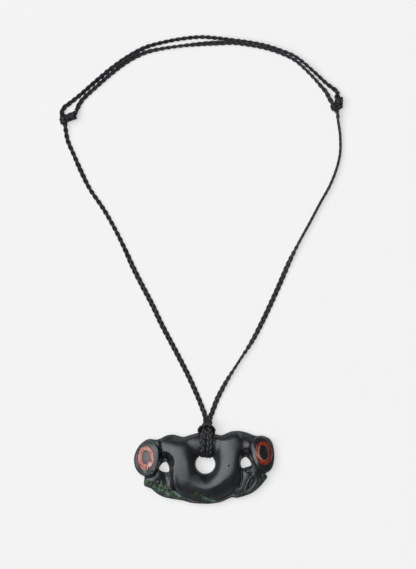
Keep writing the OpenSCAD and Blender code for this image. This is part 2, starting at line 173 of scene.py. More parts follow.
def add_mesh(name, points, faces, uv=None):
    """A mesh object in metres from points in millimetres, smooth shaded, at the origin."""
    mesh = bpy.data.meshes.new(name)
    mesh.from_pydata((points * mm).tolist(), [], faces)
    if uv is not None:
        layer = mesh.uv_layers.new(name="along")
        layer.data.foreach_set("uv", uv.astype(np.float32).ravel())
    mesh.shade_smooth()
    mesh.update()
    piece = bpy.data.objects.new(name, mesh)
    scene.collection.objects.link(piece)
    return piece


def plait_mesh(name, centre, broad, over, at, spread, size=1.0):
    """Three strands, each a third of a pitch behind the last: it swings across by the sine of its phase
    and up and down by the sine of twice its phase, so that it passes over one and under the next. Where
    a strand would sink below the sheet it is pressed flat on it."""
    points, faces, caps, uv, cap_uv = [], [], [], [], []
    total = 0
    for strand in range(3):
        phase = 2 * np.pi * (at / (plait_pitch * size) + strand / 3)
        line = (centre + broad * (size * swing * spread * np.sin(phase))[:, None]
                + over * (size * rise * np.sin(2 * phase))[:, None])
        wide = size * strand_wide * spread
        thick = size * strand_thick * np.ones(len(at))
        skin, walls, ends, marks = tube(line, wide, thick, broad, strand_sides, at)
        skin[:, 2] = np.maximum(skin[:, 2], least_height)
        points.append(skin)
        faces.append(walls + total)
        caps += [end + total for end in ends]
        uv.append(marks + (0, strand))
        cap_uv.append(np.zeros((2 * strand_sides, 2)))
        total += len(skin)
    all_faces = np.vstack(faces).tolist() + [cap.tolist() for cap in caps]
    return add_mesh(name, np.vstack(points), all_faces, np.vstack(uv + cap_uv))


class Value:
    """A value in a shader: arithmetic on it adds a Math node for each operation."""

    def __init__(self, finish, socket):
        self.finish = finish
        self.socket = socket

    def math(self, operation, first, second):
        return self.finish.node("ShaderNodeMath", {"operation": operation}, {0: first, 1: second})

    def __add__(self, other):
        return self.math("ADD", self, other)

    def __rsub__(self, other):
        return self.math("SUBTRACT", other, self)

    def __mul__(self, other):
        return self.math("MULTIPLY", self, other)

    __radd__ = __add__
    __rmul__ = __mul__

    def clip(self):
        """Held between 0 and 1."""
        return self.finish.node("ShaderNodeClamp", {}, {"Value": self})

    def ramp(self, low, high):
        """0 at low, 1 at high, smooth between and level beyond. Low may be the greater of the two."""
        return self.finish.node("ShaderNodeMapRange", {"interpolation_type": "SMOOTHSTEP"},
                                {"Value": self, "From Min": low, "From Max": high})


class Finish:
    """A material whose nodes are all made by one method."""

    def __init__(self, name):
        self.material = bpy.data.materials.new(name)
        self.material.use_nodes = True
        self.tree = self.material.node_tree
        self.tree.nodes.clear()

    def node(self, kind, settings, sockets, out=0):
        """Adds a node: its settings, then the values or links of its sockets. Returns one output."""
        node = self.tree.nodes.new(kind)
        for name, value in settings.items():
            setattr(node, name, value)
        for key, value in sockets.items():
            if isinstance(value, Value):
                self.tree.links.new(value.socket, node.inputs[key])
            else:
                node.inputs[key].default_value = value
        return Value(self, node.outputs[out]) if len(node.outputs) else None

    def scaled(self, where, factors):
        """A place, each of its coordinates times its own factor."""
        return self.node("ShaderNodeVectorMath", {"operation": "MULTIPLY"}, {0: where, 1: factors})

    def place(self, squeeze=(1, 1, 1)):
        """Object coordinates in millimetres. A pattern is finer along an axis with a greater squeeze."""
        where = self.node("ShaderNodeTexCoord", {}, {}, "Object")
        return self.scaled(where, tuple(each / mm for each in squeeze))

    def noise(self, where, scale, detail=3.0, rough=0.5, warp=0.0):
        """Soft patternless noise about 0.5, with that many grains to a unit of the place."""
        return self.node("ShaderNodeTexNoise", {}, {
            "Vector": where, "Scale": scale, "Detail": detail, "Roughness": rough,
            "Distortion": warp})

    def attribute(self, name):
        """A value that the mesh holds for each of its points."""
        return self.node("ShaderNodeAttribute", {"attribute_name": name}, {}, "Fac")

    def mix(self, amount, first, second):
        """Between two colours."""
        return self.node("ShaderNodeMix", {"data_type": "RGBA"},
                         {"Factor": amount, 6: first, 7: second}, 2)

    def surface(self, colour, roughness, height, relief, fixed):
        """The closing Principled shader: a bump of that relief in millimetres, and fixed values for
        other sockets by their names."""
        bump = self.node("ShaderNodeBump", {}, {
            "Height": height, "Distance": relief * mm, "Strength": 1.0})
        sockets = {"Base Color": colour, "Roughness": roughness, "Normal": bump, **fixed}
        shader = self.node("ShaderNodeBsdfPrincipled", {}, sockets)
        self.node("ShaderNodeOutputMaterial", {}, {"Surface": shader})
        return self.material


thread_black = (0.005, 0.005, 0.007, 1)
thread_worn = (0.016, 0.016, 0.021, 1)


def waxed_thread():
    """Near-black thread: fine fibres run along each strand, and wax catches the light in places."""
    finish = Finish("waxed thread")
    along = finish.node("ShaderNodeUVMap", {"uv_map": "along"}, {})
    fibres = finish.noise(finish.scaled(along, (0.8, 14.0, 1.0)), 1.0, 4.0, 0.6, 0.6)
    wax = finish.noise(finish.place(), 0.35)
    paler = (fibres * 0.6 + wax * 0.5).ramp(0.45, 0.8)
    colour = finish.mix(paler, thread_black, thread_worn)
    return finish.surface(colour, 0.55 - 0.2 * wax, fibres, 0.12, {"Specular IOR Level": 0.45})


def rope_frames():
    """The whole rope at even steps: centre line, broad and over directions, arc length, spread, and
    the steps where the hitch begins and ends. A plait turned by an angle a off the level rests on the
    sheet with its middle at half its thickness times cos^2 a plus half its width times sin^2 a. On the
    bar, over points away from the bar's middle line, and the plait lies flat on the bar's face."""
    up_left = [[*row[:3], row[3], 0] for row in route_left[::-1]]
    bound = [[*row[:3], 0, row[3]] for row in hitch_left + hitch_right[::-1]]
    up_right = [[*row[:3], row[3], 0] for row in route_right]
    rows, at = even(smooth(up_left + bound + up_right, span_steps), rope_step)
    centre = rows[:, :3].copy()
    angle = np.radians(rows[:, 3])
    share = np.clip(rows[:, 4], 0, 1)
    hooked = smooth_share(share / bar_share)
    half = (strand_thick + rise) * np.cos(angle) ** 2 + (strand_wide + swing) * np.sin(angle) ** 2
    outward = centre - bar_middle
    outward[:, 0] = 0
    over = unit((1 - hooked)[:, None] * up + hooked[:, None] * unit(outward))
    centre[:, 2] = centre[:, 2] - route_radius + half
    centre -= over * (hooked * (bar_radius - plait_thick / 2 - (route_radius - half)))[:, None]
    way = unit(np.gradient(centre, axis=0))
    side = unit(np.cross(way, over))
    over = np.cross(side, way)
    broad = side * np.cos(angle)[:, None] + over * np.sin(angle)[:, None]
    over = np.cross(broad, way)
    starts = [int(np.argmin(np.linalg.norm(rows[:, :3] - end, axis=1)))
              for end in (route_left[0][:3], route_right[0][:3])]
    return centre, broad, over, at, 1 + bar_spread * share, starts


waxed = waxed_thread()
centre, broad, over, at, spread, (hitch_from, hitch_to) = rope_frames()


def rope_piece(name, node, first, last):
    """The stretch of the rope between two of its steps, as a plait that stands for a node."""
    part = slice(first, last + 1)
    piece = plait_mesh(name, centre[part], broad[part], over[part], at[part], spread[part])
    piece.data.materials.append(waxed)
    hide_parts(node)
    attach(piece, "root")
    return piece


cord_left = rope_piece("plait_left", "cord_left", 0, hitch_from)
cord_right = rope_piece("plait_right", "cord_right", hitch_to, len(at) - 1)
hitch = rope_piece("plait_hitch", "hitch", hitch_from, hitch_to)

# The sliding knots. The end of each leg is laid along a short core, taken nearly twice round the
# other leg, and wound back over its own core in three slanting turns.

# The two ends of each core, and the row of a route after which the other leg passes through the loop
core_left = np.array([[-69, 174.2, 2.3], [-64.2, 176, 2.3]])
core_right = np.array([[67.4, 179, 2.3], [67.3, 185.2, 2.3]])
knot_row = 18
# The loop: its half sizes, the angles in degrees at which it begins and ends, and its steps
loop_wide = 1.4
loop_tall = 1.5
loop_from = 24
loop_to = 696
loop_steps = 44
loop_blend = 0.3
# The wraps: their radius, their number, steps to each, and the shares of the core between which they lie
wrap_radius = 1.52
wraps = 3
wrap_steps = 16
wrap_from = 0.1
wrap_to = 0.92
# The thread of the knots is drawn tighter than the legs
knot_size = 0.92
knot_step = 0.25


def knot(name, node, own, other, core_ends, lower, upper):
    """One thin plait: in along the core, oval turns round the other leg that drift along it from lower
    to upper in millimetres, and a helix back over the core, whose radius grows by a fifth from one end
    of the core to the other. Its end is tucked in towards the core."""
    own = np.array(own)[:, :3]
    other = np.array(other)[:, :3]
    low, high = core_ends
    core = unit(high - low)
    aside = unit(np.cross(up, core))
    top = np.cross(core, aside)
    passing = unit(other[knot_row + 1] - other[knot_row])
    eye = (other[knot_row + 1] + other[knot_row]) / 2
    toward = low - eye
    toward = unit(toward - passing * (toward @ passing))
    beside = np.cross(passing, toward)
    ring_turn = np.radians(np.linspace(loop_from, loop_to, loop_steps))[:, None]
    ring = (eye + toward * loop_wide * np.cos(ring_turn) + beside * loop_tall * np.sin(ring_turn)
            + passing * np.linspace(lower, upper, loop_steps)[:, None])
    wrap_turn = np.linspace(0, 2 * np.pi * wraps, wrap_steps * wraps)[:, None]
    along = np.linspace(wrap_from, wrap_to, wrap_steps * wraps)[:, None]
    helix = (low + (high - low) * along
             + wrap_radius * (0.9 + 0.2 * along) * (aside * np.cos(wrap_turn) + top * np.sin(wrap_turn)))
    tail = helix[-1] + np.outer([0.8, 1.6], core) - np.outer([0.3, 0.9], unit(helix[-1] - high))
    inner = np.stack([own[-1], high, (low + high) / 2, low + 0.6 * core])
    line, run = even(smooth(np.vstack([inner, ring, helix, tail]), span_steps // 2), knot_step)
    from_core = line - low - core * ((line - low) @ core)[:, None]
    from_eye = line - eye - np.outer((line - eye) @ passing, passing)
    ringed = np.exp(-(np.linalg.norm(from_eye, axis=1) - loop_wide) ** 2 / loop_blend)[:, None]
    outward = unit(from_core + 1e-3 * top) * (1 - ringed) + unit(from_eye) * ringed
    way = unit(np.gradient(line, axis=0))
    side = unit(np.cross(way, outward))
    piece = plait_mesh(name, line, side, np.cross(side, way), run, np.ones(len(run)), knot_size)
    piece.data.materials.append(waxed)
    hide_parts(node)
    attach(piece, "root")
    return piece


knot_left = knot("wound_knot_left", "knot_left", route_right, route_left, core_left, -1.5, 0.4)
knot_right = knot("wound_knot_right", "knot_right", route_left, route_right, core_right, -0.6, 1.2)
tuple(centre[hitch_from] * mm)
centre[hitch_from::-1] * mm
tuple(centre[hitch_to] * mm)
float(at[-1] - at[hitch_to]) * mm
centre[hitch_to:] * mm

# The stone: one piece of dark nephrite, ground to a bat with a head at each side, drilled through
# the middle and behind each neck, and rubbed to a satin polish. The lower wing edges are left rough.
outline_rows = [
    [30.8, -3], [32, -2.5], [33.7, -0.8], [34.8, 2], [35.2, 6.2], [34.6, 10.8], [33.2, 13.8],
    [30.9, 15.3], [28.6, 15.9], [26.6, 15.7], [24.5, 16.2], [22.2, 17.1], [20, 17.8], [16.8, 18.3],
    [13.6, 18], [11.5, 17.2], [8.5, 16.1], [5.3, 16.8], [1, 17.6], [-2.8, 17.3], [-7, 16.2],
    [-10.2, 15.3], [-12.4, 15.7], [-15.6, 16.4], [-18.9, 15.9], [-22.1, 14.3], [-24.3, 13.9],
    [-26.9, 14.2], [-29.1, 13.6], [-31.7, 11.6], [-33.7, 8.8], [-34.8, 5.7], [-35, 3.4],
    [-34.6, 0.7], [-33.4, -1.8], [-31.6, -3.6], [-29.8, -4.7], [-30.1, -7.5], [-29.8, -9.1],
    [-28.6, -9.8], [-26.4, -10.6], [-24.4, -12.4], [-22, -14], [-19.6, -15], [-15.7, -15.8],
    [-10.6, -16.6], [-6.2, -17.8], [-1, -18.2], [3, -18.2], [8.2, -17.4], [13.4, -15.2],
    [15.4, -15.2], [17, -15.2], [20.5, -14.2], [24, -12.8], [27.5, -10.1], [30.5, -6.6], [31.6, -4.8]]
left_hole_rows = [
    [-19.8, 2.6], [-21.4, 1.4], [-22.4, -0.6], [-21.2, -1.8], [-19.2, -2.4], [-17.6, -2.1],
    [-17.4, -0.5], [-17.9, 1.3], [-18.7, 2.5]]
right_hole_rows = [
    [20.7, 5.1], [19, 4.1], [18.3, 2.2], [19.1, -0.2], [21.2, 0.2], [23.3, 0.9], [23.5, 1.9],
    [22.4, 4]]
hole_middle = np.array([0.7, 1.75])
hole_radius = 4.85
# The crest of the body: x, y, height above crest_top, half width of its swell inside, half width
# outside, the distance outside at which it is cut off, and an even slope added outside
crest_rows = [
    [-22, 9.2, -3.2, 5, 5, 3.2, 0], [-18.6, 9, -2, 5.2, 6, 3.4, 0], [-15, 8.2, -0.7, 5.8, 10, 4.2, 0],
    [-11.6, 6.8, -0.2, 6.8, 14, 13, 0], [-9.5, 4, -0.1, 5.4, 15, 9, 0], [-8.7, 0, 0, 5, 15, 7.8, 0],
    [-8.1, -4.6, -0.2, 6.2, 12, 8.3, 0], [-5.5, -7.3, -0.6, 7.6, 10, 9.6, 0.2],
    [-2.6, -9.3, -0.7, 6.8, 9, 12, 0.32], [1.5, -10.3, -0.6, 5.4, 8.8, 12, 0.36],
    [5.5, -9.2, -0.4, 5.8, 8.8, 12, 0.36], [9, -7, -0.2, 6.8, 8.6, 12, 0.3], [12, -4.2, 0, 8, 7, 7, 0.14],
    [13.8, -1, 0, 8.4, 5.5, 4.6, 0], [14.6, 3.5, 0, 8.6, 5, 4.1, 0], [15, 7.6, -0.2, 9.4, 5.4, 4.6, 0],
    [16.8, 10.2, -0.9, 12, 6, 5, 0], [19.6, 11, -1.8, 5, 6, 4.4, 0]]
# Steepest fall of the body's sides, radius of the edge where they are cut off, distance for no cut
wall = 0.9
cut_round = 1.2
no_cut = 99
# Low domes of the necks, the bar, the wings and the brows: x, y, height, half widths
dome_rows = [
    [-18.6, 11, 4.6, 5, 6], [18.4, 11, 5, 7.5, 6], [-3, 11.6, 6.5, 16, 5.6],
    [-23, -5.8, 5.2, 10.5, 8.4], [20.2, -3.2, 6, 10.8, 11.2], [-28.4, 4.6, 3.6, 7.5, 10.5],
    [29.4, 6.8, 3.6, 7, 10.5]]
# Soft hollows and swellings worked in by hand: x, y, half widths, lean, height
hand_rows = [
    [-19, -5, 1.9, 3.2, 16, -1.6], [-15, -7.2, 1.6, 4.6, 18, 0.9], [-25.4, -5.9, 2.4, 1.7, -10, 0.6],
    [21.6, -4.2, 1.8, 3.2, 12, 0.4], [25.8, -1.6, 1.7, 1.9, 0, 0.4], [23.4, 12, 1.9, 3.2, -10, 1.3],
    [26.5, -11.5, 4.5, 4.5, 0, -1], [-23, -12.5, 5, 3, 0, -0.5]]
# Scoops worked in round the holes behind the necks: middle and half sizes, and how softly they join
scoop_rows = [[-19.6, 2, 3.5, 6.3], [20.8, 4, 3.3, 5.7]]
scoop_blend = 0.7
# Where an edge is rounded by a greater radius: x, y, half widths, lean, what is added
soft_edge_rows = [[-13, 14.8, 8, 4, 0, 2.8], [13, 15.6, 8, 4, 0, 3.4], [0, 16.5, 8, 3, 0, 1.6],
                  [21.8, -0.4, 2.4, 1.2, 12, 1.6]]
# Grooves that part the body from the heads and wings, and finer lines in the right wing: their width
# and depth, then their points
groove_rows = [
    [0.4, 1.1, [[-22, 14.4], [-21.9, 11], [-21.8, 6.6], [-22.2, 2.8], [-23.1, 0], [-24.4, -2.8],
                [-26.6, -4.4], [-30, -4.9]]],
    [0.4, 1.1, [[23.2, 8], [23.4, 6], [24, 4], [25.5, 1.4], [27.6, -0.9], [31.2, -2.8]]],
    [0.45, 0.9, [[-16.7, -2.6], [-16.6, -6], [-15.9, -9.2], [-14.6, -11.4]]],
    [0.55, 0.9, [[18.6, -0.6], [18.8, -3.6], [18.6, -6.6], [17.8, -9.4]]],
    [0.5, 0.3, [[20.6, -1.4], [22.4, -2.2], [24, -2.8]]],
    [0.22, 0.22, [[22.3, -5.6], [21.5, -7.2], [21.2, -9]]],
    [0.3, 0.2, [[18.6, -12.2], [21, -12.9], [24, -11], [26.4, -8.4]]]]
# The leaf cut in the right wing, and the spiral in the left one
leaf_rows = [[23.8, -4.4], [25.1, -4.3], [26, -5.3], [26.1, -6.8], [25.3, -8.6], [23.4, -10.8],
             [21.4, -12.4], [20.4, -12.2], [20.9, -9.6], [22.1, -6.4]]
vein_rows = [[24.4, -5.6], [25, -6.6], [24.6, -8], [23.4, -9.6], [22.4, -10.4], [22.8, -8.6],
             [23.5, -6.8]]
spiral = np.array([-22.7, -7.2])
spiral_radius = 1.15
spiral_width = 0.28
# Small pits: x, y, width
pit_rows = [[12.5, 1.1, 0.32], [-25.7, -2.2, 0.42]]
# Depth of the spiral, the pits and the leaf, height of the lip round the leaf, depth of its veins
fine_cut = 0.4
leaf_lip = 0.14
vein_cut = 0.2
# Heights of the body's crest and of the lowest ground, and the powers of the joining and the domes
crest_top = 8.5
ground_low = 3.6
meeting = 4
dome_power = 0.7
# The rubbing down: how far it smooths, the step of its grid, and the steps that it reaches
polish = 0.45
rub_cell = 0.2
rub_reach = 8
# The rim's share of the height, radius of the edge as a share of the height and on a drum, how the
# drums blend in, radius of the back's edge, belt where the carving fades out, least height over it
rim_share = 0.42
edge_share = 0.16
drum_edge = 0.35
drum_blend = 0.5
blend_edge = 0.9
back_edge = 1.2
carve_edge = 1.2
least_wall = 0.02
# The cord's channel in the back: its middle, half width, width of the sides, start, slope and depth
channel_x = 1.2
channel_half = 5.4
channel_side = 1.4
channel_y = 2.5
channel_run = 2
channel_deep = 2.5
# The cell of the mesh, and the belt along a rim where its rows lie closer, by a power
cell = 0.196
crowd = 1.7
crowd_power = 1.4
# The eyes: middle of the face, lean, middle and half sizes of the drum, outer and inner half sizes
# of the inlaid ring, how far its inner oval lies above the middle of the outer one, how much the
# face sinks towards the neck, and a flat bevel: its height at the origin, its slope to x and to y.
# The left one's lies too high to touch the face.
eye_rows = {
    "left": [(-29, 4.8), -6, (-28.3, 4.6), (6.5, 9.1), (4.5, 6.05), (2.2, 3.5), 0.5, 0.06, (20, 0, 0)],
    "right": [(29.8, 7.35), 14, (29.1, 6.6), (5.9, 9.3), (4.7, 5.95), (2.45, 3.9), 0.3, 0,
              (-1.75, 0.34, 0.18)]}
# A face: its height, tilt and dome, by how much and from where it sinks at its top, from where it
# sinks at the neck, how far both go on, and how softly the bevel meets it
eye_height = 6.6
eye_slope = np.tan(np.radians(27))
eye_crown = 1
top_sink = 0.06
top_from = 5.2
neck_from = 2.5
sink_reach = 5
bevel_blend = 0.3
# The drum: height of its foot, its mean half size, the radius of its edge, and the inlay's channel
foot_height = 2.1
drum_reach = 6
eye_edge = 0.4
inlay_depth = 0.95
inlay_wall = 0.25
# Points are measured in blocks, so that no array grows too large
block_size = 4000


def near(points, chain):
    """How far each point p lies from a chain of straight spans, the number of the nearest span, and the
    share of the way along it, which on a span ab is clip((p - a).(b - a) / |b - a|^2)."""
    start, run = chain[:-1, :2], np.diff(chain[:, :2], axis=0)
    length = np.sum(run * run, axis=1)
    found = []
    for block in np.array_split(points, len(points) // block_size + 1):
        off = block[:, None, :] - start
        share = np.clip(np.sum(off * run, axis=2) / length, 0, 1)
        gap = np.linalg.norm(off - share[..., None] * run, axis=2)
        span = np.argmin(gap, axis=1)
        row = np.arange(len(block))
        found.append(np.stack([gap[row, span], span, share[row, span]], axis=1))
    gap, span, share = np.vstack(found).T
    return gap, span.astype(int), share


def inside(points, loop):
    """True where a line to the right of a point crosses the loop an odd number of times."""
    a, b = loop[:-1], loop[1:]
    odd = []
    for block in np.array_split(points, len(points) // block_size + 1):
        x, y = block[:, :1], block[:, 1:]
        spans = (a[:, 1] > y) != (b[:, 1] > y)
        cut = a[:, 0] + (b[:, 0] - a[:, 0]) * (y - a[:, 1]) / (b[:, 1] - a[:, 1] + 1e-12)
        odd.append(np.sum(spans & (x < cut), axis=1) % 2 == 1)
    return np.concatenate(odd)


def leaned(points, middle, lean):
    """Points seen from a middle, in axes turned by the lean in degrees."""
    shift = points - np.asarray(middle)
    c, s = np.cos(np.radians(lean)), np.sin(np.radians(lean))
    return np.stack([shift[:, 0] * c + shift[:, 1] * s, shift[:, 1] * c - shift[:, 0] * s], axis=1)


def rounding(value):
    """A quarter circle from 0 at the edge to 1 at one radius in."""
    return np.sqrt(1 - (1 - np.clip(value, 0, 1)) ** 2)


def lower_of(first, second, width):
    """The lower of two heights, and where they are less than the width w apart, by d, lower by
    (w - d)^2 / 4w, so that one runs softly into the other."""
    soft = np.clip(width - np.abs(first - second), 0, None) ** 2 / (4 * width)
    return np.minimum(first, second) - soft


def body_height(points):
    """Falls from the crest of height h on both sides as h sqrt(1 - (d / W)^2) at distance d and half
    width W, and past the place where that is as steep as the wall, straight on in the same line, which
    is sqrt(h^2 + (wall W)^2) - wall d. Outside it falls by an even slope too, so that the crest is a
    ridge there, and a quarter circle ends it before the distance of its cut."""
    crest = smooth(crest_rows, 8)
    gap, span, share = near(points, crest)
    start, run = crest[span], crest[span + 1] - crest[span]
    row = start + run * share[:, None]
    off = points - start[:, :2]
    side = run[:, 0] * off[:, 1] - run[:, 1] * off[:, 0]
    width = np.where(side > 0, row[:, 3], row[:, 4])
    end = np.where(side > 0, no_cut, row[:, 5])
    slope = np.where(side > 0, 0, row[:, 6])
    tall = crest_top + row[:, 2] - ground_low
    reach = np.hypot(tall, wall * width)
    oval = tall * np.sqrt(np.clip(1 - (gap / width) ** 2, 0, None))
    fall = np.where(gap > wall * width ** 2 / reach, reach - wall * gap, oval) - slope * gap
    return ground_low + np.clip(fall, 0, None) * rounding((end - gap) / cut_round)


def ground(points):
    """The body and the domes above the lowest ground, joined by the fourth root of the sum of their
    fourth powers, then the hollows and swellings, each height exp(-(u^2 + v^2)) in its own leaned
    axes, and last the scoops, which leave no more than 1.8 + 6 r^3 at r half sizes from their middle.
    A dome of height h is h (1 - u^2 - v^2)^0.7."""
    total = (body_height(points) - ground_low) ** meeting
    for x, y, top, half_x, half_y in dome_rows:
        u, v = (points[:, 0] - x) / half_x, (points[:, 1] - y) / half_y
        fall = np.clip(1 - u ** 2 - v ** 2, 0, None)
        total = total + ((top - ground_low) * fall ** dome_power) ** meeting
    height = ground_low + total ** (1 / meeting)
    for x, y, half_x, half_y, lean, rise_by in hand_rows:
        u, v = leaned(points, (x, y), lean).T
        height = height + rise_by * np.exp(-(u / half_x) ** 2 - (v / half_y) ** 2)
    for x, y, half_x, half_y in scoop_rows:
        bowl = 1.8 + 6 * np.hypot((points[:, 0] - x) / half_x, (points[:, 1] - y) / half_y) ** 3
        height = lower_of(height, bowl, scoop_blend)
    return height


def lattice(step, margin):
    """Columns, rows and points of a square grid over the stone, with a margin round it."""
    low, high = outline.min(axis=0) - margin, outline.max(axis=0) + margin
    xs, ys = np.arange(low[0], high[0], step), np.arange(low[1], high[1], step)
    return xs, ys, np.stack(np.meshgrid(xs, ys, indexing="ij"), axis=-1).reshape(-1, 2)


def polished_ground(points):
    """The ground on a grid, rubbed smooth: each row and column is averaged with its neighbours by the
    weights exp(-(distance / polish)^2 / 2), and the points are read off between the grid's rows. Each
    of the two passes averages down the grid and leaves it turned on its side."""
    xs, ys, grid_points = lattice(rub_cell, 1)
    grid = ground(grid_points).reshape(len(xs), -1)
    reach = np.arange(-rub_reach, rub_reach + 1)
    weights = np.exp(-(reach * rub_cell / polish) ** 2 / 2)
    weights /= weights.sum()
    for _ in range(2):
        wide = np.pad(grid, [(rub_reach, rub_reach), (0, 0)], mode="edge")
        rubbed = sum(weight * np.roll(wide, -shift, axis=0) for weight, shift in zip(weights, reach))
        grid = rubbed[rub_reach:-rub_reach].T
    x, y = ((points - (xs[0], ys[0])) / rub_cell).T
    i, j = np.floor(x).astype(int), np.floor(y).astype(int)
    u, v = x - i, y - j
    return ((1 - u) * ((1 - v) * grid[i, j] + v * grid[i, j + 1])
            + u * ((1 - v) * grid[i + 1, j] + v * grid[i + 1, j + 1]))


def eye_face(points, eye):
    """Height of the tilted, domed face of an eye: a sloping plane less crown times the square of the
    share of the drum's half sizes, sinking more towards its top and its neck, and cut by the bevel.
    Also that share, and the place across and along the tilted face."""
    middle, lean, foot, half = eye[:4]
    shift = points - np.array(middle)
    u, v = leaned(shift / (np.cos(np.arctan(eye_slope)), 1), (0, 0), lean).T
    s, t = leaned(points, foot, lean).T
    share = np.hypot(s / half[0], t / half[1])
    tilt = np.sign(middle[0]) * eye_slope
    face = eye_height - tilt * shift[:, 0] - eye_crown * np.minimum(share, 1.2) ** 2
    face = face - top_sink * np.clip(t - top_from, 0, sink_reach) ** 2
    face = face - eye[7] * np.clip(s - neck_from, 0, sink_reach) ** 2
    level, slope_x, slope_y = eye[8]
    bevel = level + points @ (slope_x, slope_y)
    return lower_of(face, bevel, bevel_blend), share, u, v


def eye_drum(points, eye):
    """The face, rounded over at its edge into an upright wall down to the foot, with the inlay's channel
    sunk between two ovals."""
    face, share, u, v = eye_face(points, eye)
    (out_x, out_y), (in_x, in_y), raised = eye[4:7]
    from_outer = (1 - np.hypot(u / out_x, v / out_y)) * out_x
    from_inner = (np.hypot(u / in_x, (v - raised) / in_y) - 1) * in_x
    channel = smooth_share(np.minimum(from_outer, from_inner) / inlay_wall)
    edge = rounding((1 - share) * drum_reach / eye_edge)
    return foot_height + (face - foot_height) * edge - inlay_depth * channel


def waves(points, seed, count, short, long):
    """A patternless swell about 0: the sum of drawn sine waves over the root of their number."""
    draw = np.random.default_rng(seed)
    turn = draw.uniform(0, np.pi, count)
    rate = 2 * np.pi / draw.uniform(short, long, count)
    start = draw.uniform(0, 2 * np.pi, count)
    way = np.stack([np.cos(turn), np.sin(turn)]) * rate
    return np.sin(points @ way + start).sum(axis=1) / np.sqrt(count)


def patches(points, rows):
    """The greatest of soft spots, each exp(-(u^2 + v^2)) in its own leaned axes, times its strength."""
    best = np.zeros(len(points))
    for x, y, half_x, half_y, lean, strength in rows:
        u, v = leaned(points, (x, y), lean).T
        best = np.maximum(best, strength * np.exp(-(u / half_x) ** 2 - (v / half_y) ** 2))
    return best


leaf_loop = smooth(leaf_rows, 6, closed=True)
vein_loop = smooth(vein_rows, 6, closed=True)
outline = smooth(outline_rows, 6, closed=True)
around = 2 * np.pi * np.append(np.arange(96), 0) / 96
rims = [outline, hole_middle + hole_radius * np.stack([np.cos(around), np.sin(around)], axis=1),
        smooth(left_hole_rows, 8, closed=True), smooth(right_hole_rows, 8, closed=True)]


def rim_gaps(points):
    """Distance to the nearest rim, negative outside the stone, and the nearest place on a rim."""
    gaps, feet = [], []
    for number, rim in enumerate(rims):
        gap, span, share = near(points, rim)
        solid = inside(points, rim) == (number == 0)
        gaps.append(np.where(solid, gap, -gap))
        feet.append(rim[span] + (rim[span + 1] - rim[span]) * share[:, None])
    gaps = np.stack(gaps)
    nearest = np.argmin(gaps, axis=0)
    pick = np.arange(len(points))
    return gaps[nearest, pick], np.stack(feet)[nearest, pick]


def stone_sheet():
    """A grid of triangles trimmed to the stone: where an edge crosses a rim, its nearer end is moved on
    to the rim, and rows near a rim are drawn closer to it, from distance d to R (d / R)^1.4. Returns
    its points, its triangles, and each point's distance from the rims."""
    xs, ys, points = lattice(cell, cell)
    i, j = np.meshgrid(np.arange(len(xs) - 1), np.arange(len(ys) - 1), indexing="ij")
    a = (i * len(ys) + j).ravel()
    b, c, d = a + len(ys), a + len(ys) + 1, a + 1
    even_cell = ((i + j) % 2 == 0).ravel()[:, None]
    triangles = np.vstack([np.where(even_cell, np.stack([a, b, c], 1), np.stack([a, b, d], 1)),
                           np.where(even_cell, np.stack([a, c, d], 1), np.stack([b, c, d], 1))])
    gap, foot = rim_gaps(points)
    triangles = triangles[(gap[triangles] > -2 * cell).all(axis=1)]
    ends = np.vstack([triangles[:, [0, 1]], triangles[:, [1, 2]], triangles[:, [2, 0]]])
    ends = ends[gap[ends[:, 0]] * gap[ends[:, 1]] < 0]
    moved = ends[np.arange(len(ends)), np.argmin(np.abs(gap[ends]), axis=1)]
    gap[moved] = 0
    points[moved] = foot[moved]
    triangles = triangles[(gap[triangles] >= 0).all(axis=1)]
    flush = (gap[triangles] == 0).all(axis=1)
    if flush.any():
        centre_gap = rim_gaps(points[triangles[flush]].mean(axis=1))[0]
        flush[flush] = centre_gap < 0.01
    triangles = triangles[~flush]
    used, triangles = np.unique(triangles, return_inverse=True)
    points, gap, foot = points[used], gap[used], foot[used]
    closer = crowd * (np.clip(gap, 0, crowd) / crowd) ** crowd_power
    factor = np.where((gap > 0) & (gap < crowd), closer / np.maximum(gap, 1e-9), 1)
    points = np.where((gap < crowd)[:, None], foot + (points - foot) * factor[:, None], points)
    return points, triangles.reshape(-1, 3), np.where(gap < crowd, closer, gap)


def carving(points):
    """How deep the stone is cut: grooves, spiral and pits sink by depth exp(-(distance / width)^2), and
    the leaf is sunk inside a raised lip, with its veins cut deeper."""
    lines = [(near(points, smooth(rows, 8))[0], width, depth) for width, depth, rows in groove_rows]
    lines += [(np.linalg.norm(points - (x, y), axis=1), width, fine_cut) for x, y, width in pit_rows]
    lines += [(np.linalg.norm(points - spiral, axis=1) - spiral_radius, spiral_width, fine_cut)]
    cut = np.max([depth * np.exp(-(away / width) ** 2) for away, width, depth in lines], axis=0)
    from_leaf = near(points, leaf_loop)[0] * np.where(inside(points, leaf_loop), 1, -1)
    cut = np.maximum(cut, fine_cut * smooth_share((from_leaf - 0.2) / 0.6))
    cut = cut - leaf_lip * np.exp(-((from_leaf + 0.05) / 0.22) ** 2)
    return cut + vein_cut * np.exp(-(near(points, vein_loop)[0] / 0.24) ** 2)


